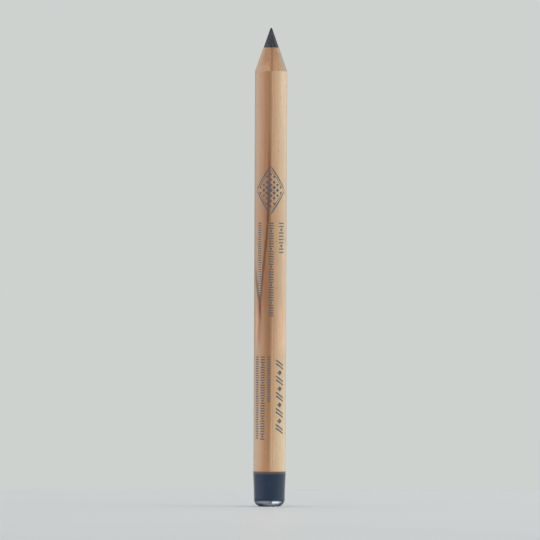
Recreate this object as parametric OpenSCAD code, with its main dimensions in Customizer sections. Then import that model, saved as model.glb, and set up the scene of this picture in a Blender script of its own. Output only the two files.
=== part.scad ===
// Sharpened wooden eyeliner pencil standing on its dipped foot, point upwards.
// The origin is the centre of the foot, and +Z runs along the axis to the tip of the lead.
// All sizes are in millimetres and angles in degrees.

/* [Barrel] */
// Whole length from the foot to the tip of the lead
pencil_len = 116; // [80:1:180]
// Diameter of the round cedar barrel
barrel_d = 7.8; // [6.5:0.1:12]

/* [Lead] */
// Diameter of the soft lead
lead_d = 3.7; // [2:0.1:4.4]
// Room for glue between the lead and its groove, on each side
glue_gap = 0.02; // [0.01:0.01:0.1]

/* [Sharpened point] */
// Full angle of the cone that the sharpener cut
cone_angle = 38.4; // [26:0.2:60]
// Radius worn on the tip of the lead
point_r = 0.25; // [0.1:0.05:0.8]
// Width of the step of wood left round the lead at the top of the wooden cone
rim_w = 0.05; // [0.05:0.05:0.5]

/* [Dipped foot] */
// Height of the lacquer above the foot
dip_len = 8.5; // [5:0.5:20]
// Thickness of the lacquer on the side of the barrel
dip_t = 0.06; // [0.04:0.01:0.3]
// Thickness of the lacquer under the wood, where the dip gathered
dip_foot_t = 0.2; // [0.1:0.05:0.3]
// Radius of the rounded edge round the foot
foot_edge_r = 0.35; // [0.35:0.05:2.2]
// How much the sanded end of the barrel narrows under the lacquer, on each side
foot_taper = 0.05; // [0:0.05:0.4]
// Room between the lacquer and the wood, on the curved faces
skin_gap = 0.01; // [0.01:0.01:0.03]

/* [Hidden] */
$fn = 96;
cut_over = 1;
half_turn = 180;

barrel_r = barrel_d / 2;
lead_r = lead_d / 2;
groove_r = lead_r + glue_gap;
half_angle = cone_angle / 2;

// The tip is a sphere that the lead's cone touches along one circle.
tip_centre_z = pencil_len - point_r;
tip_touch_z = tip_centre_z + point_r * sin(half_angle);
tip_touch_r = point_r * cos(half_angle);
cone_apex_z = tip_centre_z + point_r / sin(half_angle);

// The lead's cone starts level with the step of wood round it.
rim_z = cone_apex_z - lead_r / tan(half_angle);
rim_r = groove_r + rim_w;
cone_z = rim_z - (barrel_r - rim_r) / tan(half_angle);

// The wood narrows from the lip of the dip down to its own rounded edge.
wood_foot_r = barrel_r - foot_taper;
wood_edge_r = foot_edge_r - dip_foot_t;

// The lacquer follows the wood, and its lip is rounded over half its thickness.
dip_r = barrel_r + dip_t;
dip_foot_r = wood_foot_r + dip_t;
dip_lip_r = dip_t / 2;
pocket_r = barrel_r + skin_gap;
pocket_foot_r = wood_foot_r + skin_gap;
pocket_edge_r = wood_edge_r + skin_gap;

// Half section of a plain round slab or ring between two radii and two heights.
module slab_section(r0, r1, z0, z1) {
    polygon([[r0, z0], [r1, z0], [r1, z1], [r0, z1]]);
}

// Half section of a post from z0 to z1 that widens from foot_r to head_r above a rounded foot edge.
module post_section(foot_r, head_r, z0, z1, edge_r) {
    flat_r = foot_r - edge_r;
    edge_z = z0 + edge_r;
    slab_section(0, flat_r, z0, edge_z);
    intersection() {
        translate([flat_r, edge_z]) circle(r = edge_r);
        slab_section(flat_r, foot_r, z0, edge_z);
    }
    polygon([[0, edge_z], [foot_r, edge_z], [head_r, z1], [0, z1]]);
}

// Half section of the glued blank up to top_z: the sanded end, and the round barrel above it.
module blank_section(top_z) {
    post_section(wood_foot_r, barrel_r, dip_foot_t, dip_len, wood_edge_r);
    slab_section(0, barrel_r, dip_len, top_z);
}

// Half section of the cedar: the blank and the wooden cone, less the groove.
module cedar_section() {
    difference() {
        union() {
            blank_section(cone_z);
            polygon([[0, cone_z], [barrel_r, cone_z], [rim_r, rim_z], [0, rim_z]]);
        }
        slab_section(0, groove_r, dip_foot_t - cut_over, rim_z + cut_over);
    }
}

// One grooved half of the barrel, from the parting plane round to the other side.
module cedar_half() {
    rotate_extrude(angle = half_turn) cedar_section();
}

// Half section of the lead: a rod sanded off with the blank, the sharpened cone and the worn tip.
module lead_section() {
    intersection() {
        slab_section(0, lead_r, dip_foot_t, rim_z);
        blank_section(rim_z);
    }
    polygon([[0, rim_z], [lead_r, rim_z], [tip_touch_r, tip_touch_z], [0, tip_touch_z]]);
    intersection() {
        translate([0, tip_centre_z]) circle(r = point_r);
        slab_section(0, point_r, tip_touch_z, pencil_len + cut_over);
    }
}

// Half section of the dip: a thin wall up the barrel with a rounded lip, and a closed foot.
module dip_section() {
    difference() {
        union() {
            post_section(dip_foot_r, dip_r, 0, dip_len - dip_lip_r, foot_edge_r);
            slab_section(0, dip_r - dip_lip_r, dip_len - dip_lip_r, dip_len);
            translate([dip_r - dip_lip_r, dip_len - dip_lip_r]) circle(r = dip_lip_r);
        }
        post_section(pocket_foot_r, pocket_r, dip_foot_t, dip_len, pocket_edge_r);
    }
}

module casing_front() {
    color("#b98f69") rotate([0, 0, half_turn]) cedar_half();
}

module casing_back() {
    color("#c49b76") cedar_half();
}

module lead_core() {
    color("#3f4347") rotate_extrude() lead_section();
}

module end_lacquer() {
    color("#2c3949") rotate_extrude() dip_section();
}

casing_front();
casing_back();
lead_core();
end_lacquer();
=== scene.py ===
"""Looks of a sharpened eyeliner pencil that stands upright on its lacquered foot.

The two cedar halves, the lead and the lacquer are turned from their outlines, and the print lies on the
barrel as thin films of ink. Lengths are in millimetres until a mesh is made, and in metres in the meshes.
"""

import logging
import math
from collections.abc import Callable, Sequence
from dataclasses import dataclass
from enum import Enum

import bmesh
import bpy
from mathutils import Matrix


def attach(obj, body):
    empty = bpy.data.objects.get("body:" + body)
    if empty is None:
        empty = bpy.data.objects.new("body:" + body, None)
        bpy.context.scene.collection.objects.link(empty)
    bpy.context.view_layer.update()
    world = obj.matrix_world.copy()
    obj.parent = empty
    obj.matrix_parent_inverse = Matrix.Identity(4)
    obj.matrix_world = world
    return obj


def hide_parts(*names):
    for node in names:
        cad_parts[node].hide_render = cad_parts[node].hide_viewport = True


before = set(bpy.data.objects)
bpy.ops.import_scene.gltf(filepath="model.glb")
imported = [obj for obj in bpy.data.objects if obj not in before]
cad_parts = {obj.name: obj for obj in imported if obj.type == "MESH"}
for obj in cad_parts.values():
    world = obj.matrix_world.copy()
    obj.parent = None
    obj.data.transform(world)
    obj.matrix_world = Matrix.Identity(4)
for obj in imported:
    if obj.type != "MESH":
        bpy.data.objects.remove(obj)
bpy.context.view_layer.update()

LOG = logging.getLogger("pencil")
MM = 0.001
SAME_PLACE = 0.00001
WELD = 0.0000004
HALF_STEPS = 180
WHOLE_STEPS = 256
STORED = ("r", "h", "t", "wide", "tall", "turn")
Vec = tuple[float, float, float]
Point = tuple[float, float]
Path = tuple[Point, ...]
Edges = tuple[float, float, float, float]


class Half(Enum):
    """The two grooved halves of the barrel, with the angle in degrees at which each one starts."""

    FRONT = 180.0
    BACK = 0.0


class MarkShape(Enum):
    """Outlines of a printed mark: a dash with rounded ends, or a plain rectangle."""

    DASH = 1.0
    PLAIN = 0.0


class Lay(Enum):
    """How one colour is laid on another: over it, or as a tint that multiplies it."""

    OVER = "MIX"
    TINT = "MULTIPLY"


def arithmetic(operation: str, swapped: bool = False) -> Callable[["Wire", "Wire | float"], "Wire"]:
    """Makes an operator of Wire.

    Args:
        operation: the Math node's operation.
        swapped: whether the other value stands in front.

    Returns:
        The operator.
    """

    def apply(wire: "Wire", other: "Wire | float") -> "Wire":
        """Adds a Math node on both values."""
        return wire.graph.math(operation, *((other, wire) if swapped else (wire, other)))

    return apply


class Wire:
    """An output of a node, with the arithmetic that adds Math nodes behind it."""

    __add__ = arithmetic("ADD")
    __radd__ = arithmetic("ADD", swapped=True)
    __sub__ = arithmetic("SUBTRACT")
    __rsub__ = arithmetic("SUBTRACT", swapped=True)
    __mul__ = arithmetic("MULTIPLY")
    __rmul__ = arithmetic("MULTIPLY", swapped=True)
    __truediv__ = arithmetic("DIVIDE")
    __rtruediv__ = arithmetic("DIVIDE", swapped=True)
    __pow__ = arithmetic("POWER")
    __rpow__ = arithmetic("POWER", swapped=True)
    least = arithmetic("MINIMUM")
    most = arithmetic("MAXIMUM")
    over = arithmetic("GREATER_THAN")

    def __init__(self, graph: "Graph", socket: bpy.types.NodeSocket) -> None:
        """Keeps the graph and the socket that this wire leaves from."""
        self.graph = graph
        self.socket = socket

    def abs(self) -> "Wire":
        """Size of the value without its sign."""
        return self.graph.math("ABSOLUTE", self)

    def fall(self, low: float, high: float) -> "Wire":
        """Smooth step from one down to zero."""
        return self.ramp(low, high, 1.0, 0.0)

    def near(self, place: float, full: float, none: float) -> "Wire":
        """One up to a distance of full from a place, and zero from a distance of none."""
        return (self - place).abs().fall(full, none)

    def window(self, edges: Edges, peak: float = 1.0, rest: float = 0.0) -> "Wire":
        """Rise between the first two edges to a peak, and fall to the rest between the last two."""
        return self.ramp(*edges[:2]) * self.ramp(*edges[2:], peak, rest)

    def ramp(self, low: float, high: float, start: float = 0.0, end: float = 1.0) -> "Wire":
        """Smooth step of the value.

        Args:
            low: value at which the step begins.
            high: value at which it ends.
            start: result below low.
            end: result above high.

        Returns:
            The eased value between start and end.
        """
        settings = {"interpolation_type": "SMOOTHSTEP"}
        inputs = {"Value": self, "From Min": low, "From Max": high, "To Min": start, "To Max": end}
        return self.graph.out("ShaderNodeMapRange", settings, inputs)


class Graph:
    """Builds the nodes of one tree, for a material, the world or a shape."""

    def __init__(self, tree: bpy.types.NodeTree) -> None:
        """Takes an existing tree."""
        self.tree = tree

    def node(self, kind: str, settings: dict | None = None, inputs: dict | None = None) -> bpy.types.Node:
        """Adds one node.

        Args:
            kind: Blender's name for the node.
            settings: the node's own settings, set first, with points for a curve.
            inputs: values or wires by socket name or number.

        Returns:
            The new node.
        """
        made = self.tree.nodes.new(kind)
        for name, value in (settings or {}).items():
            if name == "points":
                self.set_points(made.mapping, value)
            else:
                setattr(made, name, value)
        for key, value in (inputs or {}).items():
            self.feed(made.inputs[key], value)
        return made

    @staticmethod
    def set_points(mapping: bpy.types.CurveMapping, points: list[Point]) -> None:
        """Puts the points of a value curve.

        Args:
            mapping: the curve's mapping.
            points: its points, from 0 to 1 both ways.
        """
        curve = mapping.curves[0]
        while len(curve.points) < len(points):
            curve.points.new(0.5, 0.5)
        for point, place in zip(curve.points, points):
            point.location = place
        mapping.update()

    def feed(self, socket: bpy.types.NodeSocket, value: object) -> None:
        """Links a wire to a socket, or sets the socket's own value.

        Args:
            socket: the input.
            value: the wire or the value.
        """
        if isinstance(value, Wire):
            self.tree.links.new(value.socket, socket)
        else:
            socket.default_value = value

    def out(
        self, kind: str, settings: dict | None = None, inputs: dict | None = None, pick: int | str = 0
    ) -> Wire:
        """Adds one node and returns one of its outputs."""
        return Wire(self, self.node(kind, settings, inputs).outputs[pick])

    def math(self, operation: str, *values: "Wire | float") -> Wire:
        """Adds a Math node on one or two values."""
        return self.out("ShaderNodeMath", {"operation": operation}, dict(enumerate(values)))

    def vector(self, x: "Wire | float", y: "Wire | float", z: "Wire | float") -> Wire:
        """Joins three values to a vector."""
        return self.out("ShaderNodeCombineXYZ", None, {0: x, 1: y, 2: z})

    def split(self, vector: Wire) -> tuple[Wire, Wire, Wire]:
        """Takes a vector apart."""
        made = self.node("ShaderNodeSeparateXYZ", None, {0: vector})
        return Wire(self, made.outputs[0]), Wire(self, made.outputs[1]), Wire(self, made.outputs[2])

    def combine(self, operation: str, vector: Wire, by: Vec) -> Wire:
        """Adds a Vector Math node, to multiply or add part by part."""
        return self.out("ShaderNodeVectorMath", {"operation": operation}, {0: vector, 1: by})

    def tone(self, colour: Wire, by: Wire) -> Wire:
        """Multiplies a colour by a value."""
        return self.out("ShaderNodeVectorMath", {"operation": "SCALE"}, {0: colour, "Scale": by})

    def noise(
        self, vector: Wire, cells: "float | Vec", detail: float = 2.0, rough: float = 0.5, bend: float = 0.0
    ) -> Wire:
        """Value noise from 0 to 1.

        Args:
            vector: place at which the noise is read.
            cells: cells for each unit of the vector, as one number or one for each axis.
            detail: number of finer layers.
            rough: weight of the finer layers.
            bend: distortion of the cells.

        Returns:
            The noise value.
        """
        if isinstance(cells, tuple):
            vector, cells = self.combine("MULTIPLY", vector, cells), 1.0
        inputs = {"Vector": vector, "Scale": cells, "Detail": detail, "Roughness": rough, "Distortion": bend}
        return self.out("ShaderNodeTexNoise", None, inputs)

    def blend(self, share: Wire, low: "Wire | Vec", high: "Wire | Vec", lay: Lay = Lay.OVER) -> Wire:
        """Lays a share of the high colour on the low one."""
        inputs = {0: share, 6: self.colour(low), 7: self.colour(high)}
        return self.out("ShaderNodeMix", {"data_type": "RGBA", "blend_type": lay.value}, inputs, 2)

    @staticmethod
    def colour(value: "Wire | Vec") -> object:
        """Gives a plain colour its alpha."""
        return value if isinstance(value, Wire) else (*value, 1.0)


class ShapeGraph(Graph):
    """Geometry Nodes tree with named inputs, made a plain mesh when it is used."""

    def __init__(self, name: str) -> None:
        """Makes an empty tree with one geometry input and one geometry output.

        Args:
            name: name of the tree.
        """
        super().__init__(bpy.data.node_groups.new(name, "GeometryNodeTree"))
        self.tree.interface.new_socket("Geometry", in_out="INPUT", socket_type="NodeSocketGeometry")
        self.tree.interface.new_socket("Geometry", in_out="OUTPUT", socket_type="NodeSocketGeometry")
        self.inlet = self.tree.nodes.new("NodeGroupInput")
        self.outlet = self.tree.nodes.new("NodeGroupOutput")

    def size(self, name: str, kind: str = "Float") -> Wire:
        """Adds a named input of a kind such as Float, Int, Bool or Material."""
        self.tree.interface.new_socket(name, in_out="INPUT", socket_type="NodeSocket" + kind)
        return Wire(self, self.inlet.outputs[name])

    @property
    def source(self) -> Wire:
        """The geometry that comes in."""
        return Wire(self, self.inlet.outputs["Geometry"])

    def read(self, name: str) -> Wire:
        """Reads a value stored on the points."""
        return self.out("GeometryNodeInputNamedAttribute", {"data_type": "FLOAT"}, {"Name": name})

    def join(self, *shapes: Wire) -> Wire:
        """Joins shapes.

        Args:
            *shapes: the shapes.

        Returns:
            One shape of them all.
        """
        made = self.node("GeometryNodeJoinGeometry")
        for shape in shapes:
            self.feed(made.inputs[0], shape)
        return Wire(self, made.outputs[0])

    def end(self, shape: Wire, material: Wire) -> None:
        """Closes the tree with Realize Instances and Set Material.

        Args:
            shape: the finished shape.
            material: its material.
        """
        real = self.out("GeometryNodeRealizeInstances", None, {0: shape})
        done = self.out("GeometryNodeSetMaterial", None, {"Geometry": real, "Material": material})
        self.feed(self.outlet.inputs[0], done)

    def make(self, name: str, source: bpy.types.Mesh, values: dict[str, object]) -> bpy.types.Object:
        """Runs the tree on a mesh and keeps the result as a plain mesh.

        Args:
            name: name of the new object.
            source: mesh that goes into the tree.
            values: the named inputs, such as sizes and the material.

        Returns:
            An object with the finished mesh and no modifier.
        """
        carrier = link(name + "_source", source)
        modifier = carrier.modifiers.new("shape", "NODES")
        modifier.node_group = self.tree
        sockets = {s.name: s.identifier for s in self.tree.interface.items_tree if s.in_out == "INPUT"}
        for key, value in values.items():
            modifier[sockets[key]] = value
        seen = carrier.evaluated_get(bpy.context.evaluated_depsgraph_get())
        mesh = bpy.data.meshes.new_from_object(seen)
        mesh.name = name
        bpy.data.objects.remove(carrier)
        bpy.data.meshes.remove(source)
        return plain_object(name, mesh)


def link(name: str, data: bpy.types.ID) -> bpy.types.Object:
    """Puts a mesh, a light or a camera in the scene.

    Args:
        name: name of the object.
        data: what it shows.

    Returns:
        The new object, at the origin.
    """
    made = bpy.data.objects.new(name, data)
    bpy.context.scene.collection.objects.link(made)
    return made


def around(angle: float, distance: float, height: float) -> Vec:
    """Place at an angle in radians from the front to the right, a distance from the axis and a height."""
    return distance * math.sin(angle), -distance * math.cos(angle), height


def plain_object(name: str, mesh: bpy.types.Mesh) -> bpy.types.Object:
    """Links a mesh as an object with its faces outwards and no stray attributes.

    Args:
        name: name of the object.
        mesh: the mesh, in metres in the row frame.

    Returns:
        The new object, at the origin.
    """
    work = bmesh.new()
    work.from_mesh(mesh)
    bmesh.ops.recalc_face_normals(work, faces=work.faces)
    work.to_mesh(mesh)
    work.free()
    for stray in [a.name for a in mesh.attributes if a.name in STORED]:
        mesh.attributes.remove(mesh.attributes[stray])
    return link(name, mesh)


class Outline:
    """Half section of a turned piece, drawn as (radius, height) in millimetres."""

    def __init__(self, r: float, z: float) -> None:
        """Starts the outline at one point."""
        self.points: list[Point] = [(r, z)]

    def to(self, r: float, z: float, step: float = math.inf) -> "Outline":
        """Draws a straight line.

        Args:
            r: radius of its end.
            z: height of its end.
            step: most that two points on it are apart.

        Returns:
            This outline.
        """
        r0, z0 = self.points[-1]
        count = max(1, math.ceil(math.hypot(r - r0, z - z0) / step))
        for i in range(1, count + 1):
            self.points.append((r0 + (r - r0) * i / count, z0 + (z - z0) * i / count))
        return self

    def arc(self, r: float, z: float, radius: float, start: float, end: float, count: int) -> "Outline":
        """Draws an arc about a centre.

        Args:
            r: radius of the arc's centre.
            z: height of the arc's centre.
            radius: radius of the arc.
            start: first angle in degrees, from outwards to upwards.
            end: last angle.
            count: number of short lines.

        Returns:
            This outline.
        """
        for i in range(count + 1):
            a = math.radians(start + (end - start) * i / count)
            self.points.append((r + radius * math.cos(a), z + radius * math.sin(a)))
        return self

    def through(self, places: Sequence[Point]) -> "Outline":
        """Draws short lines through a list of points."""
        self.points.extend(places)
        return self

    def mesh(self, name: str, closed: bool) -> bpy.types.Mesh:
        """Makes a line mesh, with points that coincide left out.

        Args:
            name: name of the mesh.
            closed: whether the line ends where it starts.

        Returns:
            The mesh, with the radius as X and the height as Y, in metres.
        """
        kept = [self.points[0]]
        for place in self.points[1:]:
            if math.dist(place, kept[-1]) > SAME_PLACE:
                kept.append(place)
        if closed and math.dist(kept[0], kept[-1]) > SAME_PLACE:
            kept.append(kept[0])
        made = bpy.data.meshes.new(name)
        edges = [(i, i + 1) for i in range(len(kept) - 1)]
        made.from_pydata([(r * MM, z * MM, 0.0) for r, z in kept], edges, [])
        return made


class TurnedTree(ShapeGraph):
    """Turns an outline about the axis, for a whole turn or for half of one with flat caps.

    The cells for each metre are those of the torn fibres and of the lip's wave. The fibres start at one
    radius and are full at another, so that the tip stays closed. sharp_bend is an angle in radians.
    """

    tear_cells: Vec = (1400.0, 1400.0, 420.0)
    tear_radii: Point = (0.0001, 0.0006)
    lip_cells: Vec = (1600.0, 1600.0, 1.0)
    sharp_bend: float = 0.5

    def __init__(self) -> None:
        """Builds the tree."""
        super().__init__("turned_piece")
        start, sweep = self.size("Start"), self.size("Sweep")
        seam, seam_from = self.size("Seam Depth"), self.size("Seam From")
        relief, relief_from = self.size("Relief"), self.size("Relief From")
        lip, lip_from = self.size("Lip Wave"), self.size("Lip From")
        steps = self.size("Steps", "Int")
        capped = self.size("Capped", "Bool")
        material = self.size("Material", "Material")
        shape = self.join(self.sheet(steps), self.caps(capped))
        r, h, t = (self.read(name) for name in ("r", "h", "t"))
        angle = start + sweep * t
        at_seam = 1.0 - (t.least(1.0 - t) * steps).least(1.0)
        groove = seam * at_seam * r.over(seam_from)
        tears = self.noise(self.turned(r, angle, h), self.tear_cells, 3.0, 0.6) - 0.5
        on_cone = h.over(relief_from) * r.ramp(*self.tear_radii)
        radius = r - groove + relief * tears * on_cone
        wave = self.noise(self.turned(MM, angle, 0.0), self.lip_cells) - 0.5
        height = h + lip * wave * h.over(lip_from)
        shape = self.out("GeometryNodeSetPosition", None, {0: shape, 2: self.turned(radius, angle, height)})
        shape = self.out("GeometryNodeMergeByDistance", None, {0: shape, 2: WELD})
        self.end(self.smooth(shape), material)

    def sheet(self, steps: Wire) -> Wire:
        """Grid with a row for each point of the outline and a column for each step of the turn.

        Args:
            steps: number of steps in the turn.

        Returns:
            The grid, with its radius, height and share of the turn stored.
        """
        place = self.out("GeometryNodeInputPosition")
        rows = self.out("GeometryNodeAttributeDomainSize", {"component": "MESH"}, {0: self.source})
        columns = self.whole("ADD", steps, 1)
        grid = self.out("GeometryNodeMeshGrid", None, {0: 1.0, 1: 1.0, 2: rows, 3: columns})
        index = self.out("GeometryNodeInputIndex")
        row = self.whole("DIVIDE_FLOOR", index, columns)
        column = self.whole("MODULO", index, columns)
        settings = {"data_type": "FLOAT_VECTOR", "domain": "POINT"}
        inputs = {"Geometry": self.source, "Value": place, "Index": row}
        point = self.out("GeometryNodeSampleIndex", settings, inputs)
        r, h, _ = self.split(point)
        return self.keep(grid, {"r": r, "h": h, "t": column / steps})

    def smooth(self, shape: Wire) -> Wire:
        """Shades the faces smooth, with sharp edges where two faces bend by more than sharp_bend.

        Args:
            shape: the turned shape.

        Returns:
            The shaded shape.
        """
        shape = self.out("GeometryNodeSetShadeSmooth", {"domain": "FACE"}, {0: shape, 2: True})
        sharp = self.out("GeometryNodeInputMeshEdgeAngle").over(self.sharp_bend)
        return self.out("GeometryNodeSetShadeSmooth", {"domain": "EDGE"}, {0: shape, 1: sharp, 2: False})

    def whole(self, operation: str, a: Wire, b: "Wire | int") -> Wire:
        """Integer arithmetic."""
        return self.out("FunctionNodeIntegerMath", {"operation": operation}, {0: a, 1: b})

    def turned(self, r: "Wire | float", angle: Wire, h: "Wire | float") -> Wire:
        """Place at a radius, an angle and a height."""
        return self.vector(self.math("COSINE", angle) * r, self.math("SINE", angle) * r, h)

    def keep(self, shape: Wire, values: dict[str, "Wire | float"]) -> Wire:
        """Stores named values on the points of a shape.

        Args:
            shape: the shape.
            values: the values by name.

        Returns:
            The shape with its values.
        """
        settings = {"data_type": "FLOAT", "domain": "POINT"}
        for name, value in values.items():
            inputs = {0: shape, "Name": name, "Value": value}
            shape = self.out("GeometryNodeStoreNamedAttribute", settings, inputs)
        return shape

    def caps(self, capped: Wire) -> Wire:
        """Flat faces at both ends of a part turn.

        Args:
            capped: whether the piece has them.

        Returns:
            The faces with their radius, height and share of the turn stored, or nothing.
        """
        place = self.out("GeometryNodeInputPosition")
        loop = self.out("GeometryNodeMergeByDistance", None, {0: self.source, 2: WELD})
        curve = self.out("GeometryNodeMeshToCurve", None, {0: loop})
        face = self.out("GeometryNodeFillCurve", {"mode": "TRIANGLES"}, {0: curve})
        r, h, _ = self.split(place)
        both = self.join(*(self.keep(face, {"r": r, "h": h, "t": share}) for share in (0.0, 1.0)))
        return self.out("GeometryNodeSwitch", {"input_type": "GEOMETRY"}, {0: capped, 2: both})


class PrintTree(ShapeGraph):
    """Sets flat marks at points, gives them the film's thickness and bends them round the barrel.

    Each mark is a grid of so many points across and along, which narrows towards its ends with a power.
    """

    grid: tuple[int, int] = (5, 9)
    end_power: float = 8.0
    end_least: float = 0.02

    def __init__(self) -> None:
        """Builds the tree."""
        super().__init__("printed_marks")
        radius, film = self.size("Radius"), self.size("Film")
        rounding = self.size("Rounding")
        material = self.size("Material", "Material")
        grid = self.out("GeometryNodeMeshGrid", None, {0: 1.0, 1: 1.0, 2: self.grid[0], 3: self.grid[1]})
        x, y, _ = self.split(self.out("GeometryNodeInputPosition"))
        ends = (y * 2.0).abs().least(1.0) ** self.end_power
        slim = self.math("SQRT", (1.0 - rounding * ends).most(self.end_least))
        mark = self.out("GeometryNodeSetPosition", None, {0: grid, 2: self.vector(x * slim, y, 0.0)})
        turn = self.vector(0.0, 0.0, self.read("turn"))
        scale = self.vector(self.read("wide"), self.read("tall"), 1.0)
        rotation = self.out("FunctionNodeEulerToRotation", None, {0: turn})
        inputs = {"Points": self.source, "Instance": mark, "Rotation": rotation, "Scale": scale}
        marks = self.out("GeometryNodeInstanceOnPoints", None, inputs)
        flat = self.out("GeometryNodeRealizeInstances", None, {0: marks})
        inputs = {"Mesh": flat, "Offset Scale": film, "Individual": False}
        raised = self.out("GeometryNodeExtrudeMesh", {"mode": "FACES"}, inputs)
        under = self.out("GeometryNodeFlipFaces", None, {0: flat})
        shape = self.out("GeometryNodeMergeByDistance", None, {0: self.join(raised, under), 2: WELD})
        arc, height, depth = self.split(self.out("GeometryNodeInputPosition"))
        angle = arc / radius
        reach = radius + depth
        forward = self.math("COSINE", angle) * reach * -1.0
        bent = self.vector(self.math("SINE", angle) * reach, forward, height)
        self.end(self.out("GeometryNodeSetPosition", None, {0: shape, 2: bent}), material)


@dataclass(frozen=True)
class Finish:
    """Common parts of the materials, with the depth in metres of the relief that the bump gives."""

    relief: float = 0.0

    @staticmethod
    def start(name: str) -> tuple[bpy.types.Material, Graph, Wire]:
        """Makes a material with nodes.

        Args:
            name: name of the material.

        Returns:
            The material, its graph and the place on the object in millimetres.
        """
        material = bpy.data.materials.new(name)
        material.use_nodes = True
        material.node_tree.nodes.clear()
        graph = Graph(material.node_tree)
        place = graph.out("ShaderNodeTexCoord", pick="Object")
        return material, graph, graph.combine("MULTIPLY", place, (1 / MM, 1 / MM, 1 / MM))

    def close(self, graph: Graph, inputs: dict[str, object], height: Wire | None = None) -> None:
        """Adds the surface shader, its bump and the output.

        Args:
            graph: graph of the material.
            inputs: values and wires of the surface shader.
            height: relief from 0 to 1, or nothing for a smooth surface.
        """
        if height is not None:
            bump = {"Height": height, "Distance": self.relief, "Strength": 1.0}
            inputs = {**inputs, "Normal": graph.out("ShaderNodeBump", None, bump)}
        shader = graph.out("ShaderNodeBsdfPrincipled", None, inputs)
        graph.node("ShaderNodeOutputMaterial", None, {0: shader})


@dataclass
class Slat:
    """Places on one half of the barrel in millimetres, and its colour so far.

    across runs from the heartwood to the sapwood, seed is the place for uneven detail, and cut is one on
    the cone and zero on the barrel.
    """

    graph: Graph
    x: Wire
    z: Wire
    across: Wire
    seed: Wire
    cut: Wire
    colour: Wire

    def paint(self, share: Wire, colour: "Wire | Vec", lay: Lay = Lay.OVER) -> None:
        """Lays a colour on a share of the surface."""
        self.colour = self.graph.blend(share, self.colour, colour, lay)


@dataclass(frozen=True)
class Patch:
    """Patch of colour with soft edges, as places across and up in millimetres.

    Its share of the surface is rest above its upper edge.
    """

    colour: Vec
    across: Edges
    up: Edges
    share: float = 1.0
    rest: float = 0.0
    lay: Lay = Lay.OVER

    def paint(self, slat: Slat, x: Wire) -> None:
        """Paints the patch on a slat, at a place across that may waver."""
        share = x.window(self.across) * slat.z.window(self.up, self.share, self.rest)
        slat.paint(share, self.colour, self.lay)


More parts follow.
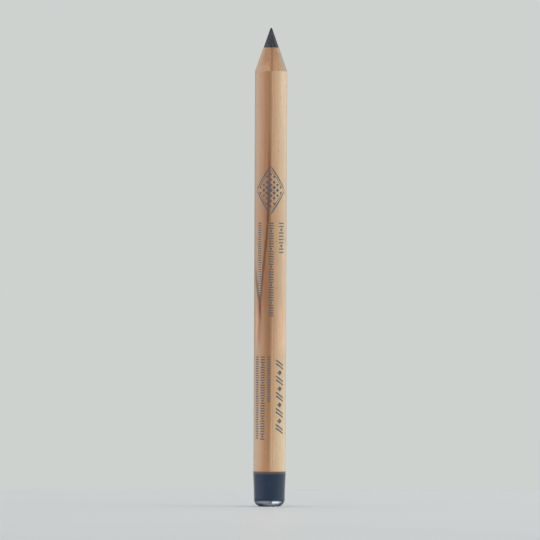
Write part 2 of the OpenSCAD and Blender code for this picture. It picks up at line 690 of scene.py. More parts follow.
@dataclass(frozen=True)
class CedarFinish(Finish):
    """Sanded cedar under a thin satin varnish, raw where the sharpener cut it.

    The two paths are the middles of the resin streak and of its left arm, as height and place across. apart
    moves the back half's grain away from the front's, in millimetres.
    """

    relief: float = 0.00002
    heart: Vec = (0.475, 0.240, 0.110)
    tan: Vec = (0.545, 0.288, 0.142)
    rim: Vec = (0.560, 0.408, 0.276)
    sap: Vec = (0.672, 0.412, 0.236)
    pale: Vec = (0.685, 0.488, 0.294)
    edge: Vec = (0.700, 0.545, 0.380)
    late: Vec = (0.270, 0.122, 0.056)
    cream: Vec = (0.800, 0.620, 0.410)
    resin: Vec = (0.470, 0.190, 0.085)
    blush: Vec = (0.840, 0.460, 0.315)
    streak: Vec = (0.195, 0.082, 0.038)
    stem: Vec = (0.190, 0.052, 0.008)
    pore: Vec = (0.240, 0.118, 0.060)
    raw: Vec = (0.545, 0.300, 0.156)
    cone_top_shade: Vec = (0.390, 0.205, 0.108)
    cone_low_light: Vec = (0.760, 0.465, 0.290)
    cone_side_sheen: Vec = (0.580, 0.455, 0.335)
    shaded_side: Vec = (0.800, 0.855, 0.960)
    rosy_light: Vec = (1.180, 1.090, 1.120)
    lit: Vec = (1.130, 1.100, 1.190)
    deep: Vec = (0.895, 0.870, 0.845)
    foot: Vec = (1.135, 1.190, 1.210)
    apart: float = 31.7
    cone_z: float = 105.5
    apex_z: float = 116.51
    cone_slope: float = 0.3482
    streak_path: Path = (
        *((36.0, -2.32), (42.5, -2.36), (46.0, -2.4), (49.2, -2.5), (50.3, -2.48), (51.5, -2.27)),
        *((53.9, -2.06), (56.1, -1.85), (60.0, -1.45), (63.4, -1.12), (67.0, -0.85), (70.0, -0.57)),
        *((75.0, -0.4), (93.0, -0.3), (116.0, -0.1)),
    )
    arm_path: Path = (
        *((40.0, -2.52), (49.3, -2.52), (50.3, -2.7), (51.5, -2.96), (52.7, -3.1), (53.9, -3.22)),
        *((55.4, -3.34), (64.0, -3.6), (116.0, -3.7)),
    )

    def build(self, half: Half) -> bpy.types.Material:
        """Builds the material of one half.

        Args:
            half: the front half has the dark resin streak, and each half has its own grain.

        Returns:
            The material.
        """
        material, graph, place = self.start("cedar_" + half.name.lower())
        x, y, z = graph.split(place)
        front = half is Half.FRONT
        shift = 0.0 if front else self.apart
        seed = graph.combine("ADD", place, (shift, shift, shift))
        warp = graph.noise(seed, (0.1, 0.1, 0.03)) - 0.5
        across = x + warp * 0.8 if front else x * -0.8 + y * 0.5 - 1.6 + warp * 1.6
        wavy = graph.noise(place, (1.1, 1.1, 0.05), 3.0, 0.6) - 0.5
        cut = (z + wavy * 0.9).ramp(self.cone_z - 0.14, self.cone_z + 0.1)
        slat = Slat(graph, x, z, across, seed, cut, self.ground(graph, across))
        self.growth(slat)
        if front:
            self.streaks(slat)
        self.sharpened(slat)
        slat.paint(z.window((34.0, 50.0, 64.0, 92.0)), self.deep, Lay.TINT)
        # painted light: the barrel is brightened towards the foot, as light bounced from the floor would
        slat.paint(z.fall(12.0, 34.0), self.foot, Lay.TINT)
        fibre = graph.noise(seed, (9.0, 9.0, 0.22), 3.0, 0.65)
        hair = graph.noise(seed, (26.0, 26.0, 0.5), 2.0, 0.6)
        slat.colour = graph.tone(slat.colour, (fibre - 0.5) * 0.4 + (hair - 0.5) * 0.24 + 1.0)
        pores = graph.noise(seed, (8.0, 8.0, 0.9), 1.0, 0.4).ramp(0.69, 0.76)
        slat.paint(pores * 0.55, self.pore)
        slat.paint(y.abs().ramp(0.02, 0.1, 0.4, 0.0), self.late)
        scuff = graph.noise(seed, (1.3, 1.3, 0.5), 4.0, 0.7)
        marks = graph.noise(seed, (1.1, 1.1, 5.5), 3.0, 0.6, 0.6)
        inputs = {
            "Base Color": slat.colour,
            "Roughness": 0.42 + scuff * 0.16 + pores * 0.2 + cut * 0.26,
            "Coat Weight": (1.0 - cut) * 0.3,
            "Coat Roughness": 0.3,
            "IOR": 1.45,
            "Specular IOR Level": 0.4,
        }
        self.close(graph, inputs, fibre * 0.45 + hair * 0.2 - pores * 0.9 + marks * cut * 1.6)
        return material

    def ground(self, graph: Graph, across: Wire) -> Wire:
        """Broad colours across the slat: heartwood that pales to one side, and a step to the sapwood.

        Args:
            graph: graph of the material.
            across: place across the slat in millimetres, from the heartwood to the sapwood.

        Returns:
            The ground colour.
        """
        heartwood = graph.blend(across.fall(-2.5, -1.1), self.heart, self.tan)
        heartwood = graph.blend(across.near(-1.95, 0.1, 0.6) * 0.24, heartwood, self.sap)
        heartwood = graph.blend(across.fall(-3.5, -2.1), heartwood, self.rim)
        sapwood = graph.blend(across.ramp(0.6, 2.6), self.sap, self.pale)
        sapwood = graph.blend(across.ramp(2.8, 3.8), sapwood, self.edge)
        return graph.blend(across.ramp(-0.14, 0.5), heartwood, sapwood)

    def growth(self, slat: Slat) -> None:
        """Paints darker and paler lines along the grain, unevenly spaced.

        Args:
            slat: the half, with its ground painted.
        """
        graph, across = slat.graph, slat.across
        fade = graph.noise(slat.seed, (0.5, 0.5, 0.04), 1.0).ramp(0.3, 0.62)
        dark = graph.noise(graph.vector(across * 2.1, 3.0, 0.0), 1.0, 2.0, 0.6)
        light = graph.noise(graph.vector(across * 2.6, 11.0, 0.0), 1.0, 2.0, 0.6)
        slat.paint(dark.ramp(0.48, 0.72) * (0.1 + fade * 0.16), self.late)
        slat.paint(light.ramp(0.5, 0.72) * (0.16 + fade * 0.24), self.cream)

    def patches(self) -> list[Patch]:
        """Soft patches under the streak: a warm strip and a blush at the left; on the right, a painted
        highlight high up and painted light lower down.
        """
        return [
            Patch(self.heart, (-3.15, -2.85, -2.5, -2.2), (37.0, 42.0, 50.0, 56.0)),
            Patch(self.blush, (-3.8, -3.1, -3.2, -2.75), (37.0, 43.5, 45.0, 50.0), 0.95, 0.2),
            # painted highlight: a pale cream strip near the right edge of the upper barrel
            Patch(self.cream, (2.15, 2.65, 2.85, 3.35), (92.0, 101.0, 116.0, 117.0), 0.5),
            # painted light with a rosy tint: the right side is brightened from 36 to 51 mm
            Patch(self.rosy_light, (1.0, 2.4, 5.0, 6.0), (36.0, 40.0, 46.5, 51.0), lay=Lay.TINT),
            # painted light: the right edge is brightened from 46.5 to 66 mm
            Patch(self.lit, (2.6, 3.1, 5.0, 6.0), (46.5, 51.0, 60.0, 66.0), lay=Lay.TINT),
        ]

    def streaks(self, slat: Slat) -> None:
        """Paints the patches, the resin streak that wanders down the front and forks, and the band below.

        Args:
            slat: the front half, with its ground and its grain painted.
        """
        graph, z = slat.graph, slat.z
        uneven = graph.noise(slat.seed, (1.2, 1.2, 0.3)) - 0.5
        strands = graph.noise(slat.seed, (6.0, 6.0, 0.14), 4.0, 0.75) - 0.5
        x = slat.x + strands * 1.1
        for patch in self.patches():
            patch.paint(slat, x)
        side = x - self.line(graph, z, self.streak_path) + uneven * 0.16
        glow = side.ramp(-0.1, 0.3) * x.fall(-1.0, -0.1)
        slat.paint(glow * z.window((46.0, 51.0, 70.0, 86.0), 0.7), self.resin)
        width = z.ramp(42.0, 47.0, 0.3, 0.46) * z.ramp(74.0, 92.0, 1.0, 0.7)
        shape = (side.abs() / width).fall(0.3, 1.0)
        strength = z.ramp(42.6, 48.6, 0.18, 0.9) * z.window((41.6, 43.4, 72.0, 98.0), 1.0, 0.06)
        slat.paint(shape * strength, graph.blend(z.ramp(50.0, 54.0), self.stem, self.streak))
        Patch(self.cream, (-3.09, -2.74, -2.54, -2.19), (50.8, 52.6, 55.0, 61.0), 0.75).paint(slat, x)
        side = x - self.line(graph, z, self.arm_path) + uneven * 0.12
        slat.paint(side.near(0.0, 0.105, 0.42) * z.window((48.6, 50.2, 53.0, 61.0), 0.8), self.streak)
        reach = z.ramp(9.6, 17.0, 0.03, 0.62) * z.ramp(30.0, 42.0, 1.0, 1.5)
        band = ((x + 0.35 + uneven * 0.3).abs() / reach).fall(0.25, 1.0)
        slat.paint(band * z.window((9.6, 11.5, 44.0, 56.0), 0.24), self.late)

    @staticmethod
    def line(graph: Graph, z: Wire, path: Path) -> Wire:
        """Place across the pencil of a line that runs down it.

        Args:
            graph: graph of the material.
            z: height in millimetres.
            path: points of the line, as height and place across, from the foot to the tip.

        Returns:
            The place across in millimetres.
        """
        tall, wide = 116.0, 8.0
        points = [(height / tall, across / wide + 0.5) for height, across in path]
        curve = graph.out("ShaderNodeFloatCurve", {"points": points}, {"Value": z / tall})
        return (curve - 0.5) * wide

    def sharpened(self, slat: Slat) -> None:
        """Paints the cone: bare wood, painted shade towards its top, painted light low on its left, a
        painted sheen towards its sides, painted shade on its right side, torn fibres and a darker line.

        Args:
            slat: the half, with its barrel painted.
        """
        x, z, cut = slat.x, slat.z, slat.cut
        slat.paint(cut * 0.8, self.raw)
        # painted shade: darker towards the top of the cone, more on its right
        slat.paint(cut * z.ramp(106.0, 110.6) * x.ramp(-0.4, 0.6, 0.12, 0.5), self.cone_top_shade)
        # painted light: paler towards the foot of the cone, on its left
        slat.paint(cut * z.fall(105.6, 108.6) * x.ramp(-0.8, 0.2, 0.5, 0.0), self.cone_low_light)
        round_share = x / ((self.apex_z - z) * self.cone_slope)
        # painted sheen: paler and greyer towards both sides of the cone
        slat.paint(cut * round_share.abs().ramp(0.5, 0.92, 0.0, 0.7), self.cone_side_sheen)
        slat.paint(cut * round_share.ramp(0.5, 0.85), self.shaded_side, Lay.TINT)
        torn = slat.graph.noise(slat.seed, (3.6, 3.6, 1.7), 3.0, 0.7)
        slat.paint(cut * torn.ramp(0.53, 0.68, 0.0, 0.42), self.cream)
        slat.paint(cut * torn.ramp(0.3, 0.44, 0.3, 0.0), self.late)
        slat.paint(cut * x.near(0.2, 0.08, 0.42) * 0.5, self.late)


@dataclass(frozen=True)
class LeadFinish(Finish):
    """Charcoal lead of wax and pigment, cut smooth by the sharpener and worn at the tip."""

    relief: float = 0.000014
    body: Vec = (0.072, 0.080, 0.088)
    dark: Vec = (0.030, 0.035, 0.041)
    bloom: Vec = (0.150, 0.158, 0.166)
    tip_z: float = 116.0

    def build(self) -> bpy.types.Material:
        """Builds the material.

        Returns:
            The material.
        """
        material, graph, place = self.start("charcoal_lead")
        x, y, z = graph.split(place)
        swirl = graph.vector(x * 3.2 + z * 0.9, y * 3.2 - z * 0.6, z * 0.8)
        drag = graph.noise(swirl, 1.0, 3.0, 0.65)
        rings = graph.noise(place, (0.4, 0.4, 9.0))
        grit = graph.noise(place, 16.0, 2.0, 0.6)
        tip = z.ramp(self.tip_z - 1.5, self.tip_z)
        colour = graph.blend(drag.ramp(0.36, 0.6), self.dark, self.body)
        colour = graph.blend(drag.ramp(0.55, 0.7) * 0.55, colour, self.bloom)
        colour = graph.blend(grit.ramp(0.56, 0.76) * 0.35, colour, self.bloom)
        inputs = {
            "Base Color": graph.blend(tip * 0.6, colour, self.dark),
            "Roughness": 0.5 + grit * 0.22 - tip * 0.06,
            "IOR": 1.45,
            "Specular IOR Level": 0.35,
        }
        self.close(graph, inputs, drag * 0.9 + rings * 0.8 + grit * 0.25)
        return material


@dataclass(frozen=True)
class LacquerFinish(Finish):
    """Navy lacquer with a clear gloss, a little orange peel and faint rubbed scratches."""

    relief: float = 0.000004
    body: Vec = (0.0030, 0.0235, 0.0605)
    worn: Vec = (0.0300, 0.0560, 0.1020)
    thin: Vec = (0.160, 0.112, 0.092)
    lip_z: float = 8.5

    def build(self) -> bpy.types.Material:
        """Builds the material.

        Returns:
            The material.
        """
        material, graph, place = self.start("navy_lacquer")
        _, _, z = graph.split(place)
        cloud = graph.noise(place, (0.5, 0.5, 0.3), 3.0, 0.6)
        peel = graph.noise(place, 2.2)
        scratch = graph.noise(place, (1.0, 1.0, 14.0), 3.0, 0.7, 0.4).ramp(0.68, 0.74)
        lip = z.ramp(self.lip_z - 0.9, self.lip_z - 0.08)
        colour = graph.blend(cloud.ramp(0.3, 0.75) * 0.15, self.body, self.worn)
        inputs = {
            "Base Color": graph.blend(lip * 0.95, colour, self.thin),
            "Roughness": 0.34 + scratch * 0.2,
            "IOR": 1.4,
            "Specular IOR Level": 0.03,
            "Coat Weight": 1.0 - scratch * 0.4,
            "Coat Roughness": 0.07,
            "Coat IOR": 1.5,
        }
        self.close(graph, inputs, peel * 0.8 + scratch * -0.5)
        return material


@dataclass(frozen=True)
class InkFinish(Finish):
    """Slate ink of the print, a little worn where the grain stands proud."""

    relief: float = 0.000006
    body: Vec = (0.112, 0.134, 0.156)
    light: Vec = (0.175, 0.195, 0.210)

    def build(self) -> bpy.types.Material:
        """Builds the material.

        Returns:
            The material.
        """
        material, graph, place = self.start("slate_ink")
        grain = graph.noise(place, (9.0, 9.0, 0.22), 3.0, 0.65)
        cloud = graph.noise(place, 1.4, 3.0, 0.6)
        wear = graph.noise(place, (7.0, 7.0, 3.0), 3.0, 0.7)
        inputs = {
            "Base Color": graph.blend(cloud.ramp(0.3, 0.75), self.body, self.light),
            "Roughness": 0.5 + grain * 0.15,
            "Alpha": 0.9 - grain.ramp(0.5, 0.75) * 0.22 - wear.ramp(0.6, 0.8) * 0.25,
            "IOR": 1.45,
        }
        self.close(graph, inputs, grain)
        return material


@dataclass(frozen=True)
class FloorFinish(Finish):
    """Plain pale floor with a very faint cloudiness."""

    body: Vec = (0.885, 0.911, 0.907)
    cloud: Vec = (0.848, 0.875, 0.873)

    def build(self) -> bpy.types.Material:
        """Builds the material.

        Returns:
            The material.
        """
        material, graph, place = self.start("pale_floor")
        colour = graph.blend(graph.noise(place, 0.02, 3.0), self.body, self.cloud)
        self.close(graph, {"Base Color": colour, "Roughness": 0.42, "Specular IOR Level": 0.16})
        return material


@dataclass(frozen=True)
class PencilSizes:
    """Sizes that the pieces share, in millimetres, as the part's solids have them but for the foot.

    foot_edge_r is the real foot's rounder edge, and wall gives the radius and height of the lacquer's side
    above it, up to just below the lip.
    """

    length: float = 116.0
    barrel_r: float = 3.9
    lead_r: float = 1.85
    groove_r: float = 1.87
    rim_r: float = 1.92
    rim_z: float = 111.198
    cone_z: float = 105.512
    half_angle: float = 19.2
    point_r: float = 0.25
    dip_len: float = 8.5
    dip_t: float = 0.06
    foot_t: float = 0.2
    foot_edge_r: float = 1.7
    wall: Path = (
        *((3.755, 1.7), (3.775, 3.0), (3.795, 4.0), (3.82, 5.0)),
        *((3.85, 6.0), (3.885, 7.0), (3.92, 7.8), (3.94, 8.2)),
    )


@dataclass
class Piece:
    """Piece that stands for a node of the part, with the shared sizes and the tree that turns outlines."""

    sizes: PencilSizes
    turned: TurnedTree

    def turn(
        self,
        name: str,
        outline: Outline,
        material: bpy.types.Material,
        values: dict[str, float],
        half: Half | None = None,
    ) -> bpy.types.Object:
        """Turns an outline to a piece.

        Args:
            name: name of the piece.
            outline: its half section.
            material: its finish.
            values: its seam, relief or lip, as inputs of the tree in metres.
            half: which half turn it is, or nothing for a whole turn.

        Returns:
            The piece.
        """
        inputs = {
            "Start": math.radians(half.value) if half else 0.0,
            "Sweep": math.pi if half else 2 * math.pi,
            "Steps": HALF_STEPS if half else WHOLE_STEPS,
            "Capped": half is not None,
            "Material": material,
            **values,
        }
        return self.turned.make(name, outline.mesh(name + "_outline", half is not None), inputs)

    @staticmethod
    def place(piece: bpy.types.Object, slot: str, *nodes: str) -> None:
        """Lets a piece ride on the part and stand for its nodes.

        Args:
            piece: the finished piece.
            slot: not used.
            *nodes: nodes of the part that it stands for.
        """
        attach(piece, "root")
        if nodes:
            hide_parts(*nodes)
        low, high = piece.bound_box[0], piece.bound_box[6]
        LOG.info("%s: %d faces, from %.4f to %.4f m", piece.name, len(piece.data.polygons), low[2], high[2])


@dataclass
class CedarBarrel(Piece):
    """The two glued halves of the barrel, with the groove for the lead and the sharpened cone.

    skin is how far the wood under the lacquer stands back from it.
    """

    seam_depth: float = 0.03
    tear_depth: float = 0.05
    skin: float = 0.012

    def outline(self) -> Outline:
        """Draws the half section of the wood.

        Returns:
            The groove, sanded end, barrel, cone and the step round the lead.
        """
        s = self.sizes
        end_z = s.foot_t
        edge_r = s.foot_edge_r - s.foot_t
        wood_r = s.wall[0][0] - s.dip_t
        line = Outline(s.groove_r, end_z).to(wood_r - edge_r, end_z)
        line.arc(wood_r - edge_r, end_z + edge_r, edge_r - self.skin, -90.0, 0.0, 14)
        line.through([(r - s.dip_t - self.skin, z) for r, z in s.wall[1:]])
        line.to(s.barrel_r - self.skin, s.dip_len - 0.02).to(s.barrel_r, s.dip_len + 0.02)
        line.to(s.barrel_r, s.cone_z - 0.05, 0.8).to(s.barrel_r - 0.012, s.cone_z + 0.02)
        line.to(s.rim_r + 0.01, s.rim_z - 0.03, 0.1).to(s.rim_r - 0.015, s.rim_z)
        return line.to(s.groove_r, s.rim_z).to(s.groove_r, end_z, 4.0)

    def build(self) -> None:
        """Builds and places both halves."""
        values = {
            "Seam Depth": self.seam_depth * MM,
            "Seam From": (self.sizes.groove_r + 0.02) * MM,
            "Relief": self.tear_depth * MM,
            "Relief From": (self.sizes.cone_z + 0.01) * MM,
        }
        for half in Half:
            side = half.name.lower()
            piece = self.turn("cedar_" + side, self.outline(), CedarFinish().build(half), values, half)
            self.place(piece, "cedar", "casing_" + side)


@dataclass
class LeadCore(Piece):
    """The lead, from the foot of the groove to the worn point."""

    drag_depth: float = 0.016

    def outline(self) -> Outline:
        """Draws the half section of the lead.

        Returns:
            The rod, sharpened cone and round tip.
        """
        s = self.sizes
        a = math.radians(s.half_angle)
        tip_z = s.length - s.point_r
        touch = (s.point_r * math.cos(a), tip_z + s.point_r * math.sin(a))
        line = Outline(0.0, s.foot_t).to(s.lead_r, s.foot_t).to(s.lead_r, s.rim_z - 1.0, 4.0)
        line.to(s.lead_r, s.rim_z, 0.2).to(*touch, 0.09)
        return line.arc(0.0, tip_z, s.point_r, s.half_angle, 90.0, 10).to(0.0, s.length)

    def build(self) -> None:
        """Builds and places the lead."""
        values = {"Relief": self.drag_depth * MM, "Relief From": (self.sizes.rim_z + 0.01) * MM}
        piece = self.turn("lead_point", self.outline(), LeadFinish().build(), values)
        self.place(piece, "lead", "lead_core")


@dataclass
class DippedFoot(Piece):
    """The lacquer skin round the foot, thin up the side, rounded below, with a slightly wavy lip.

    lip is the section of the lip, as radius beyond the barrel and height above the dip, and gap is the room
    between the skin and the wood.
    """

    lip_wave: float = 0.07
    lip_tall: float = 0.4
    lip: Path = ((0.05, -0.12), (0.057, -0.06), (0.045, -0.015), (0.02, 0.0), (-0.008, -0.01))
    gap: float = 0.004

    def outline(self) -> Outline:
        """Draws the half section of the lacquer.

        Returns:
            The foot, rounded edge, wall, lip and the inside against the wood.
        """
        s = self.sizes
        foot_r = s.wall[0][0]
        flat_r = foot_r - s.foot_edge_r
        inner_r = s.foot_edge_r - s.foot_t
        line = Outline(0.0, 0.0).to(flat_r, 0.0, 0.4)
        line.arc(flat_r, s.foot_edge_r, s.foot_edge_r, -90.0, 0.0, 26)
        line.through(s.wall[1:])
        line.through([(s.barrel_r + out, s.dip_len + up) for out, up in self.lip])
        line.through([(r - s.dip_t - self.gap, z) for r, z in reversed(s.wall[1:])])
        line.arc(foot_r - s.dip_t - inner_r, s.foot_edge_r, inner_r - self.gap, 0.0, -90.0, 14)
        return line.to(0.0, s.foot_t - self.gap)

    def build(self) -> None:
        """Builds and places the lacquer."""
        values = {"Lip Wave": self.lip_wave * MM, "Lip From": (self.sizes.dip_len - self.lip_tall) * MM}
        piece = self.turn("lacquer_foot", self.outline(), LacquerFinish().build(), values)
        self.place(piece, "navy_lacquer", "end_lacquer")


@dataclass(frozen=True)
class Mark:
    """One printed mark, with its middle as an angle from the front and a height."""

    angle: float
    z: float
    wide: float
    tall: float
    turn: float = 0.0

    @classmethod
    def lozenge(cls, angle: float, z: float, side: float) -> "Mark":
        """A square that stands on a corner."""
        return cls(angle, z, side, side, math.radians(45.0))


@dataclass(frozen=True)
class Ladder:
    """Row of even rungs down the barrel, with a lozenge in place of some of them."""

    angle: float
    top: float
    bottom: float
    wide: float
    rung: float
    pitch: float
    every: int = 0

    def marks(self) -> tuple[list[Mark], list[Mark]]:
        """Works out the marks of the row.

        Returns:
            Its rungs, and its lozenges where it has them.
        """
        rungs, lozenges = [], []
        count = int((self.top - self.bottom) / self.pitch) + 1
        for i in range(count):
            z = self.top - i * self.pitch
            if self.every and i % self.every == self.every // 2:
                lozenges.append(Mark.lozenge(self.angle, z, min(self.wide, self.pitch) * 0.8))
            else:
                rungs.append(Mark(self.angle, z, self.wide, self.rung))
        return rungs, lozenges


@dataclass
class PrintedMarks:
    """Generic print down the front: a framed field of lozenges, ladders of rungs and a bold slanted row.

    The field has its middle at a height, reaches up and down and spreads left and right from there, and
    step is the distance from one lozenge to the next, across and up. far_most is how far out a lozenge may
    be, as a share of the field, and frames gives each frame's share of the field and its thickness.
    """

    sizes: PencilSizes
    tree: PrintTree
    film: float = 0.014
    lift: float = 0.002
    middle: float = 76.6
    reach: float = 5.9
    spread: float = 3.9
    step: Point = (0.86, 0.645)
    far_most: float = 0.78
    largest: float = 0.86
    shrink: float = 0.52
    frames: Path = ((1.0, 0.3), (0.86, 0.14))
    row_angle: float = 38.0
    row_top: float = 34.4
    row_pitch: float = 3.9
    row_count: int = 5
    row_lozenge: float = 0.95
    bar: Point = (2.5, 0.36)
    bar_slant: float = -32.0
    bar_gap: float = 0.84

    def lozenges(self) -> list[Mark]:
        """Works out the field.

        Returns:
            Its lozenges, larger towards its middle.
        """
        marks = []
        for i in range(-4, 5):
            for j in range(-8, 9):
                across, up = i * self.step[0], j * self.step[1]
                far = abs(across) / self.spread + abs(up) / self.reach
                if (i + j) % 2 == 0 and far <= self.far_most:
                    angle = math.degrees(across / self.sizes.barrel_r)
                    marks.append(Mark.lozenge(angle, self.middle + up, self.largest - self.shrink * far))
        return marks

    def frame(self) -> list[Mark]:
        """Works out the double frame round the field.

        Returns:
            Its slanted lines.
        """
        marks = []
        for share, thick in self.frames:
            length = math.hypot(self.spread, self.reach) * share
            slant = math.atan2(self.spread, self.reach)
            angle = math.degrees(self.spread * share / 2 / self.sizes.barrel_r)
            for side in (-1, 1):
                for up in (-1, 1):
                    z = self.middle + up * self.reach * share / 2
                    marks.append(Mark(side * angle, z, thick, length, side * up * slant))
        return marks

    def ornament(self) -> tuple[list[Mark], list[Mark]]:
        """Works out the bold row on the lower right.

        Returns:
            Its pairs of slanted bars, and the lozenges between them.
        """
        slants, lozenges = [], []
        slant = math.radians(self.bar_slant)
        for i in range(self.row_count):
            z = self.row_top - i * self.row_pitch
            for up in (-self.bar_gap / 2, self.bar_gap / 2):
                slants.append(Mark(self.row_angle, z + up, *self.bar, slant))
            if i < self.row_count - 1:
                lozenges.append(Mark.lozenge(self.row_angle, z - self.row_pitch / 2, self.row_lozenge))
        return slants, lozenges

    @staticmethod
    def ladders() -> list[Ladder]:
        """Rows of rungs in the middle and at the lower left."""
        return [
            Ladder(43.0, 68.6, 60.8, 1.5, 0.3, 0.78, 5),
            Ladder(3.0, 68.6, 46.0, 1.1, 0.3, 0.62, 7),
            Ladder(-42.0, 68.6, 50.6, 0.9, 0.26, 0.56),
            Ladder(-3.0, 36.2, 25.4, 0.7, 0.26, 0.56),
            Ladder(-27.0, 36.2, 16.2, 1.1, 0.3, 0.62, 7),
            Ladder(-52.0, 36.2, 16.4, 1.0, 0.26, 0.56),
        ]

    def source(self, name: str, marks: list[Mark]) -> bpy.types.Mesh:
        """Makes the points that carry the marks.

        Args:
            name: name of the piece.
            marks: its marks.

        Returns:
            The points, laid out flat in metres.
        """
        mesh = bpy.data.meshes.new(name + "_points")
        round_r = self.sizes.barrel_r * MM
        mesh.from_pydata([(math.radians(m.angle) * round_r, m.z * MM, 0.0) for m in marks], [], [])
        for key, unit in (("wide", MM), ("tall", MM), ("turn", 1.0)):
            values = mesh.attributes.new(key, "FLOAT", "POINT")
            values.data.foreach_set("value", [getattr(m, key) * unit for m in marks])
        return mesh

    def lay(self, name: str, marks: list[Mark], shape: MarkShape, ink: bpy.types.Material) -> None:
        """Bends a group of marks round the barrel and places it.

        Args:
            name: name of the piece.
            marks: its marks.
            shape: outline of each mark.
            ink: finish of the print.
        """
        values = {
            "Radius": (self.sizes.barrel_r + self.lift) * MM,
            "Film": self.film * MM,
            "Rounding": shape.value,
            "Material": ink,
        }
        piece = self.tree.make(name, self.source(name, marks), values)
        Piece.place(piece, "navy_lacquer")

    def build(self) -> None:
        """Lays all the print."""
        ink = InkFinish().build()
        slants, lozenges = self.ornament()
        rungs = []
        for ladder in self.ladders():
            plain, pointed = ladder.marks()
            rungs += plain
            lozenges += pointed
        self.lay("print_lozenges", self.lozenges() + lozenges, MarkShape.PLAIN, ink)
        self.lay("print_frame", self.frame(), MarkShape.DASH, ink)
        self.lay("print_slants", slants, MarkShape.PLAIN, ink)
        self.lay("print_rungs", rungs, MarkShape.PLAIN, ink)


@dataclass(frozen=True)
class SoftLight:
    """Large soft light aimed at the pencil's middle, with its azimuth from the front to the right."""

    name: str
    azimuth: float
    height: float
    power: float
    colour: Vec
    distance: float = 0.6
    wide: float = 0.8
    tall: float = 0.9
    aim_z: float = 0.058

    def build(self) -> None:
        """Adds the light."""
        lamp = bpy.data.lights.new(self.name, "AREA")
        lamp.shape = "RECTANGLE"
        lamp.size = self.wide
        lamp.size_y = self.tall
        lamp.energy = self.power
        lamp.color = self.colour
        made = link(self.name, lamp)
        a = math.radians(self.azimuth)
        made.location = around(a, self.distance, self.height)
        drop = math.atan2(self.height - self.aim_z, self.distance)
        made.rotation_euler = (math.pi / 2 - drop, 0.0, a)


@dataclass(frozen=True)
class LowCard:
    """Low curved reflector close round the foot, which only gloss can see, and only from inside.

    Its section is a flat strip just above the floor, at a height of low, and a short upright wall. It is
    full between the middle two of its angles, measured from the front to the right in degrees, and fades
    to a share of that at its ends. The strip fades towards the foot, and the wall is full from full_from
    to full_top and fades towards its top.
    """

    name: str
    angles: Edges
    end_shares: tuple[float, float]
    strength: float
    colour: Vec = (0.96, 1.0, 0.98)
    inner: float = 3.7
    outer: float = 4.0
    strip_share: float = 0.8
    strip_inner: float = 0.6
    low: float = 0.02
    full_from: float = 0.5
    full_top: float = 0.7
    top: float = 1.5
    facets: int = 40

    def build(self) -> None:
        """Adds the card."""
        section = [(self.inner, self.low), (self.outer, self.low), (self.outer, self.top)]
        start, end = math.radians(self.angles[0]), math.radians(self.angles[3])
        corners, faces = [], []
        for i in range(self.facets + 1):
            a = start + (end - start) * i / self.facets
            corners += [around(a, r * MM, z * MM) for r, z in section]
        for i in range(self.facets):
            for k in (3 * i, 3 * i + 1):
                faces.append((k, k + 1, k + 4, k + 3))
        mesh = bpy.data.meshes.new(self.name)
        mesh.from_pydata(corners, [], faces)
        mesh.materials.append(self.finish())
        made = link(self.name, mesh)
        for kind in ("camera", "diffuse", "shadow", "transmission"):
            setattr(made, "visible_" + kind, False)

    def finish(self) -> bpy.types.Material:
        """Makes the glowing finish.

        Returns:
            The material, clear from outside and from below.
        """
        material, graph, place = Finish.start(self.name)
        x, y, z = graph.split(place)
        turn = graph.math("ARCTAN2", x, y * -1.0)
        start, full_from, full_to, end = (math.radians(a) for a in self.angles)
        radius = graph.math("SQRT", x * x + y * y)
        left = turn.ramp(start, full_from, self.end_shares[0], 1.0)
        right = turn.ramp(full_to, end, 1.0, self.end_shares[1])
        strip = radius.ramp(self.inner, self.outer, self.strip_share * self.strip_inner, self.strip_share)
        wall = z.ramp(self.low, self.full_from, 0.0, 1.0 - self.strip_share)
        rise = (strip + wall) * z.fall(self.full_top, self.top)
        colour = graph.blend(left * right * rise, (0.0, 0.0, 0.0), self.colour)
        glow = graph.out("ShaderNodeEmission", None, {"Color": colour, "Strength": self.strength})
        clear = graph.out("ShaderNodeBsdfTransparent")
        under = graph.out("ShaderNodeNewGeometry", pick="Backfacing")
        both = graph.out("ShaderNodeMixShader", None, {0: under, 1: glow, 2: clear})
        graph.node("ShaderNodeOutputMaterial", None, {0: both})
        material.cycles.emission_sampling = "NONE"
        return material


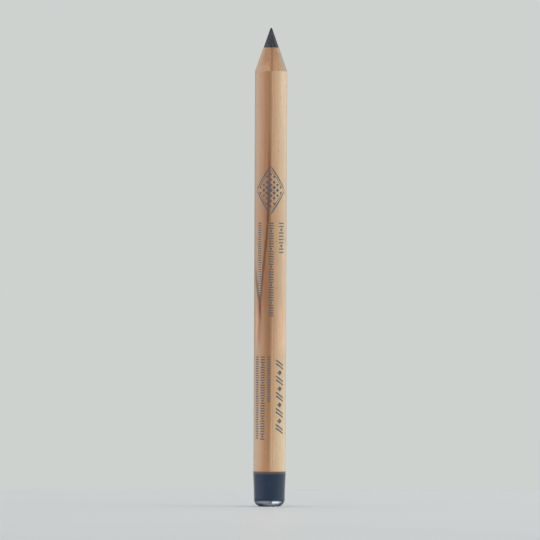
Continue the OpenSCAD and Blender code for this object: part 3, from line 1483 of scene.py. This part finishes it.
@dataclass(frozen=True)
class Studio:
    """Floor, background, soft lights, the small low reflectors at the foot and the camera.

    The four gloss colours are what gloss sees of the world from each side. The camera stands at a distance,
    and field is the width that it sees there.
    """

    floor_r: float = 0.3
    floor_back: float = 0.165
    backdrop: Vec = (0.615, 0.642, 0.625)
    front_gloss: Vec = (0.062, 0.076, 0.096)
    left_gloss: Vec = (1.280, 1.200, 1.550)
    right_gloss: Vec = (0.660, 0.760, 0.780)
    back_gloss: Vec = (0.250, 0.280, 0.290)
    fill: Vec = (0.700, 0.700, 0.705)
    distance: float = 2.2
    aside: float = -0.00007
    middle_z: float = 0.0573
    field: float = 0.1309
    roll: float = 0.2421

    def floor(self) -> None:
        """Adds the round floor, which ends a little way behind the pencil."""
        work = bmesh.new()
        bmesh.ops.create_circle(work, cap_ends=True, segments=96, radius=self.floor_r)
        bmesh.ops.translate(work, vec=(0.0, self.floor_back - self.floor_r, 0.0), verts=work.verts)
        mesh = bpy.data.meshes.new("floor")
        work.to_mesh(mesh)
        work.free()
        mesh.materials.append(FloorFinish().build())
        link("floor", mesh)

    def world(self) -> None:
        """Sets the background that the camera sees, the four sides that gloss sees, and the fill."""
        made = bpy.data.worlds.new("studio")
        bpy.context.scene.world = made
        made.use_nodes = True
        made.node_tree.nodes.clear()
        graph = Graph(made.node_tree)
        kinds = ("Is Camera Ray", "Is Transmission Ray", "Is Glossy Ray")
        straight, through, gloss = (graph.out("ShaderNodeLightPath", pick=kind) for kind in kinds)
        right, back, _ = graph.split(graph.out("ShaderNodeTexCoord", pick="Generated"))
        mirror = graph.blend(right.fall(-0.85, -0.35), self.front_gloss, self.left_gloss)
        mirror = graph.blend(right.ramp(0.35, 0.8), mirror, self.right_gloss)
        mirror = graph.blend(back.ramp(-0.2, 0.6), mirror, self.back_gloss)
        colour = graph.blend(gloss, self.fill, mirror)
        colour = graph.blend(straight.most(through), colour, self.backdrop)
        light = graph.out("ShaderNodeBackground", None, {"Color": colour, "Strength": 1.0})
        graph.node("ShaderNodeOutputWorld", None, {0: light})

    def camera(self) -> None:
        """Adds the level camera, rolled a little so that the pencil leans slightly to the right."""
        data = bpy.data.cameras.new("camera")
        data.sensor_width = 36.0
        data.lens = data.sensor_width * self.distance / self.field
        data.clip_start = 0.1
        data.clip_end = 20.0
        made = link("camera", data)
        made.location = (self.aside, -self.distance, self.middle_z)
        made.rotation_euler = (math.pi / 2, -math.radians(self.roll), 0.0)
        bpy.context.scene.camera = made

    def build(self) -> None:
        """Builds the whole studio."""
        self.floor()
        self.world()
        cards = [
            LowCard("card_right", (12.1, 12.9, 26.3, 68.0), (0.9, 0.06), 19.5, (1.0, 0.99, 0.98)),
            LowCard("card_left", (-80.0, -21.9, -15.7, 12.0), (0.15, 0.6), 5.8, full_top=0.8, top=1.65),
            LowCard(
                "card_under",
                (-50.0, 2.0, 16.0, 52.0),
                (0.08, 0.5),
                4.8,
                inner=2.6,
                outer=3.69,
                strip_share=1.0,
                strip_inner=0.08,
                full_top=0.029,
                top=0.03,
            ),
        ]
        lights = [
            SoftLight("key_right", 96.0, 0.16, 2.3, (1.0, 0.98, 0.94)),
            SoftLight("side_left", -95.0, 0.14, 1.0, (0.96, 0.98, 1.0)),
        ]
        for item in (*cards, *lights):
            item.build()
        self.camera()
        bpy.context.scene.view_settings.view_transform = "Standard"


def main() -> None:
    """Builds the studio, the pieces and the print in order."""
    logging.basicConfig(level=logging.INFO, format="%(name)s %(message)s")
    Studio().build()
    sizes = PencilSizes()
    turned = TurnedTree()
    for kind in (CedarBarrel, LeadCore, DippedFoot):
        kind(sizes, turned).build()
    PrintedMarks(sizes, PrintTree()).build()


if __name__ == "__main__":
    main()
